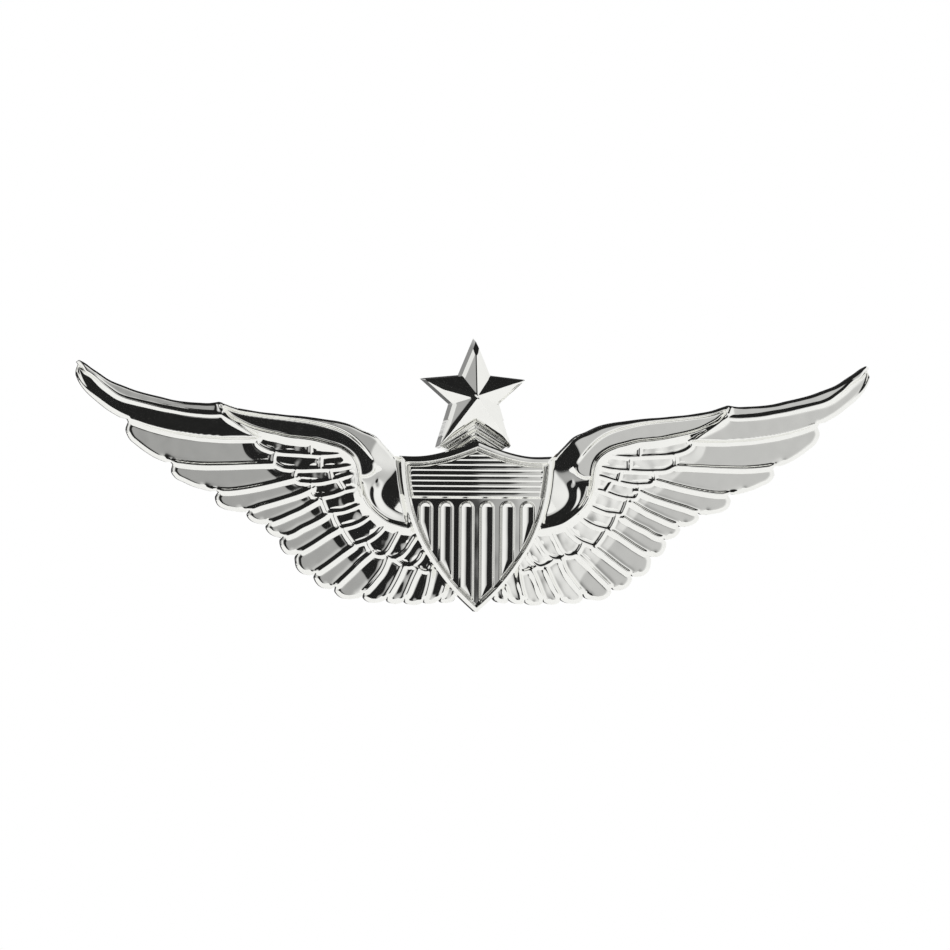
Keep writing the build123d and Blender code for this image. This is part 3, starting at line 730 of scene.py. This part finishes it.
def star_relief():
    """The star's heights: ten facets, a bevel round them, and the saddle below."""
    star = Relief((-5.0, 1.9), (4.9, 11.6), STAR_STEP)
    x, z = star.x, star.z
    cx, cz = STAR_CENTRE
    corners = star_corners()
    roof = np.full(x.shape, -9.0)
    for i in range(10):
        ax, az = corners[i] - (cx, cz)
        bx, bz = corners[(i + 1) % 10] - (cx, cz)
        det = ax * bz - az * bx
        u = ((x - cx) * bz - (z - cz) * bx) / det
        v = (-(x - cx) * az + (z - cz) * ax) / det
        in_sector = (u >= -1e-9) & (v >= -1e-9)
        roof = np.where(in_sector, STAR_PEAK - STAR_RISE * (u + v), roof)
    # the top point has a steep end, and the lower left ridge is worn to a narrow facet
    roof = np.minimum(roof, 2.44 - 0.6 * (z - 10.2))
    ridge_angle = math.radians(WORN_RIDGE_ANGLE)
    along = (x - cx) * math.cos(ridge_angle) + (z - cz) * math.sin(ridge_angle)
    across = -(x - cx) * math.sin(ridge_angle) + (z - cz) * math.cos(ridge_angle)
    worn = STAR_PEAK - along / STAR_POINT_RADII[2] - 0.1 + 0.2 * across
    roof = np.where(along > 0, np.minimum(roof, worn), roof)
    # narrow bevel round the edge
    edge_gap, _, _ = nearest_on(corners, x, z, closed=True)
    within_star = inside(corners, x, z)
    roof = np.minimum(roof, STAR_EDGE_LEVEL + np.where(within_star, 1, -1) * np.abs(edge_gap))
    roof = blurred(roof, 1.0)
    # saddle between the two lower points: folds that run down from its middle
    fold = z + FOLD_SLOPE * np.abs(x + 0.05)
    web = 1.5 - 0.22 * (fold - 3.4) + FOLD_HEIGHT * np.cos(2 * math.pi * fold / FOLD_PITCH)
    between_points = ~within_star & (z < cz - 1.9) & (np.abs(x - cx) < 2.65)
    star.height = blurred(np.where(between_points, web, roof), 0.7)
    return star


# ---- Pieces ----
wing_shell = Shell(wing_relief(), wing_outline(), hidden=shield_outline(SHIELD_OVERLAP))
wing_shell.close_with_hub(0.0, HUB_LEVEL, HUB_CORNERS)
wings = [wing_shell.to_object("left_wing", droop=WING_DROOP),
         wing_shell.to_object("right_wing", mirrored=True, droop=WING_DROOP)]

shield_shell = Shell(shield_relief(), shield_outline()[::-1])
shield_shell.close_plain(SHIELD_BACK)
shield_piece = shield_shell.to_object("shield_front")

star_shell = Shell(star_relief(), star_outline())
star_shell.close_plain(STAR_BACK, foot=star_foot)
star_piece = star_shell.to_object("star_front")


# ---- Materials ----
def new_material(name):
    """A new material, its nodes, its links and its shader."""
    material = bpy.data.materials.new(name)
    material.use_nodes = True
    nodes = material.node_tree.nodes
    return material, nodes, material.node_tree.links, nodes["Principled BSDF"]


def surface_texture(nodes, links, shader, scale, roughness, bump, stretch):
    """Fine noise that varies the roughness and lifts the surface a little."""
    place = nodes.new("ShaderNodeTexCoord")
    mapping = nodes.new("ShaderNodeMapping")
    mapping.inputs["Scale"].default_value = stretch
    links.new(place.outputs["Object"], mapping.inputs["Vector"])
    noise = nodes.new("ShaderNodeTexNoise")
    noise.inputs["Scale"].default_value = scale
    noise.inputs["Detail"].default_value = 6
    links.new(mapping.outputs["Vector"], noise.inputs["Vector"])
    spread = nodes.new("ShaderNodeMapRange")
    spread.inputs["To Min"].default_value = roughness[0]
    spread.inputs["To Max"].default_value = roughness[1]
    links.new(noise.outputs["Fac"], spread.inputs["Value"])
    links.new(spread.outputs["Result"], shader.inputs["Roughness"])
    lift = nodes.new("ShaderNodeBump")
    lift.inputs["Strength"].default_value = 1.0
    lift.inputs["Distance"].default_value = bump
    links.new(noise.outputs["Fac"], lift.inputs["Height"])
    links.new(lift.outputs["Normal"], shader.inputs["Normal"])
    return noise


def metal(name, light, dark, roughness, scale, bump, stretch=(1, 1, 1), ramp=(0.3, 0.7)):
    """Metal that varies between two colours and two roughnesses. Bump is in metres."""
    material, nodes, links, shader = new_material(name)
    shader.inputs["Metallic"].default_value = 1.0
    noise = surface_texture(nodes, links, shader, scale, roughness, bump, stretch)
    tint = nodes.new("ShaderNodeValToRGB")
    for element, position, colour in zip(tint.color_ramp.elements, ramp, (dark, light)):
        element.position = position
        element.color = colour + (1,)
    links.new(noise.outputs["Fac"], tint.inputs["Fac"])
    links.new(tint.outputs["Color"], shader.inputs["Base Color"])
    return material


chrome = metal("chrome", (0.94, 0.94, 0.905), (0.87, 0.87, 0.84), roughness=(0.02, 0.07),
               scale=900, bump=0.0000004, ramp=(0, 1))
chrome_back = metal("chrome_back", (0.82, 0.83, 0.84), (0.7, 0.71, 0.73), roughness=(0.22, 0.4),
                    scale=1500, bump=0.000006)
nickel = metal("nickel", (0.76, 0.75, 0.72), (0.64, 0.63, 0.6), roughness=(0.15, 0.32),
               scale=900, bump=0.000002, stretch=(1, 9, 1))
brass = metal("brass", (0.86, 0.66, 0.32), (0.74, 0.53, 0.22), roughness=(0.12, 0.3),
              scale=700, bump=0.000002)
spring_steel = metal("spring_steel", (0.66, 0.66, 0.67), (0.5, 0.5, 0.52), roughness=(0.2, 0.38),
                     scale=900, bump=0.000002, stretch=(4, 4, 1))

for piece in wings + [shield_piece, star_piece]:
    piece.data.materials.append(chrome)
    piece.data.materials.append(chrome_back)
    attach(piece, "root")
for piece in wings:
    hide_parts("wing_plate")
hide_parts("shield")
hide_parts("star")



def finish_for(name):
    """Nickel for the posts, steel for the springs and brass for the rest."""
    if name.endswith("post"):
        return nickel
    if name.endswith("spring"):
        return spring_steel
    return brass


for name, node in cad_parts.items():
    node.data.materials.clear()
    node.data.materials.append(finish_for(name))


# ---- Studio: pale floor, soft surround, long lens ----
FLOOR_HALF = 0.2
FLOOR_DROP = 0.06
CAMERA_AZIMUTH = -7.5
CAMERA_ELEVATION = 0.6
CAMERA_ROLL = 0.45
CAMERA_DISTANCE = 0.8
CAMERA_TARGET = (0.0, -1.2, 0.72)
VIEW_WIDTH = 0.0752
SENSOR_WIDTH = 36

# What mirrors see, in degrees: tones round the horizon, and the dark flag's lower edge.
# Angle 0 is the direction that the badge's flat front reflects towards the camera.
HORIZON_TONES = [(-180, 0.75), (-72, 0.88), (-66, 0.45), (-48, 0.38), (-43, 0.02), (-6, 0.015),
                 (-4, 0.36), (-1, 0.41), (1, 0.54), (4, 0.6), (8, 0.76), (16, 0.9), (26, 0.95),
                 (180, 0.9)]
FLAG_TONE = 0.015
FLAG_SLOPE = 6
FLAG_ABOVE_FRONT = 14
FLAG_LOWEST = 6
FLAG_HIGHEST = 36
FLAG_SOFTNESS = 3
LIGHT_BELOW_TONE = 0.92
BEHIND_TONE = 0.05


def pale_floor():
    """A nearly white square under the badge."""
    half, level = FLOOR_HALF, -FLOOR_DROP
    mesh = bpy.data.meshes.new("floor")
    mesh.from_pydata([(-half, -half, level), (half, -half, level), (half, half, level), (-half, half, level)],
                     [], [(0, 1, 2, 3)])
    floor = bpy.data.objects.new("floor", mesh)
    bpy.context.scene.collection.objects.link(floor)
    material, _, _, shader = new_material("floor")
    shader.inputs["Base Color"].default_value = (0.97, 0.97, 0.97, 1)
    shader.inputs["Roughness"].default_value = 0.9
    shader.inputs["Specular IOR Level"].default_value = 0.1
    floor.data.materials.append(material)


def surround():
    """White to the eye and for soft light; mirrors see dark flags above and to the left."""
    world = bpy.data.worlds.new("studio")
    bpy.context.scene.world = world
    world.use_nodes = True
    nodes, links = world.node_tree.nodes, world.node_tree.links
    nodes.clear()

    def put(value, socket):
        """Sets a socket to a number or links it to an output."""
        if isinstance(value, (int, float)):
            socket.default_value = value
        else:
            links.new(value, socket)

    def maths(operation, *values):
        """The output of a sum on these values."""
        node = nodes.new("ShaderNodeMath")
        node.operation = operation
        for value, socket in zip(values, node.inputs):
            put(value, socket)
        return node.outputs[0]

    def ease(value, start, end):
        """0 before start, 1 after end, and an S curve from one to the other."""
        node = nodes.new("ShaderNodeMapRange")
        node.interpolation_type = "SMOOTHSTEP"
        put(value, node.inputs["Value"])
        put(start, node.inputs["From Min"])
        put(end, node.inputs["From Max"])
        return node.outputs["Result"]

    def mix(amount, a, b):
        """From a to b by this amount."""
        node = nodes.new("ShaderNodeMix")
        put(amount, node.inputs[0])
        put(a, node.inputs[2])
        put(b, node.inputs[3])
        return node.outputs[0]

    direction = nodes.new("ShaderNodeTexCoord")
    axes = nodes.new("ShaderNodeSeparateXYZ")
    links.new(direction.outputs["Generated"], axes.inputs[0])
    x, y, z = axes.outputs
    degrees = 180 / math.pi
    azimuth = maths("MULTIPLY", maths("ARCTAN2", x, maths("MULTIPLY", y, -1)), degrees)
    azimuth = maths("SUBTRACT", azimuth, -CAMERA_AZIMUTH)
    elevation = maths("MULTIPLY", maths("ARCSINE", z), degrees)
    # tone round the horizon
    ramp = nodes.new("ShaderNodeValToRGB")
    elements = ramp.color_ramp.elements
    while len(elements) < len(HORIZON_TONES):
        elements.new(0.5)
    for element, (angle, tone) in zip(elements, HORIZON_TONES):
        element.position = (angle + 180) / 360
        element.color = (tone, tone, tone, 1)
    links.new(maths("DIVIDE", maths("ADD", azimuth, 180), 360), ramp.inputs["Fac"])
    horizon = ramp.outputs["Color"]
    # dark flag overhead, lower on the left and high again at the far left
    near = maths("ADD", maths("MULTIPLY", azimuth, FLAG_SLOPE), FLAG_ABOVE_FRONT)
    near = maths("MINIMUM", maths("MAXIMUM", near, FLAG_LOWEST), FLAG_HIGHEST)
    far_left = maths("MULTIPLY", ease(azimuth, -48, -56), FLAG_HIGHEST)
    edge = maths("MAXIMUM", near, far_left)
    flag = ease(elevation, maths("SUBTRACT", edge, FLAG_SOFTNESS), maths("ADD", edge, FLAG_SOFTNESS))
    tone = mix(flag, horizon, FLAG_TONE)
    # light from below
    tone = mix(ease(elevation, -18, -32), tone, LIGHT_BELOW_TONE)
    # the gap behind the badge is dark
    tone = mix(ease(y, 0.96, 0.985), tone, BEHIND_TONE)
    path = nodes.new("ShaderNodeLightPath")
    strength = mix(path.outputs["Is Glossy Ray"], 1.0, tone)
    background = nodes.new("ShaderNodeBackground")
    links.new(strength, background.inputs["Color"])
    output = nodes.new("ShaderNodeOutputWorld")
    links.new(background.outputs[0], output.inputs[0])


def camera():
    """A long lens in front of the badge, a little to its left and not quite level."""
    azimuth, elevation = math.radians(CAMERA_AZIMUTH), math.radians(CAMERA_ELEVATION)
    target = np.array(CAMERA_TARGET) * MM
    back = np.array([math.sin(azimuth) * math.cos(elevation), -math.cos(azimuth) * math.cos(elevation),
                     math.sin(elevation)])
    data = bpy.data.cameras.new("camera")
    data.sensor_width = SENSOR_WIDTH
    data.lens = SENSOR_WIDTH * CAMERA_DISTANCE / VIEW_WIDTH
    data.clip_start = 0.01
    obj = bpy.data.objects.new("camera", data)
    obj.location = target + back * CAMERA_DISTANCE
    obj.rotation_euler = (math.pi / 2 - elevation, 0, azimuth)
    obj.rotation_euler.rotate_axis("Z", math.radians(CAMERA_ROLL))
    bpy.context.scene.collection.objects.link(obj)
    bpy.context.scene.camera = obj


pale_floor()
surround()
camera()
bpy.context.scene.view_settings.view_transform = "Standard"
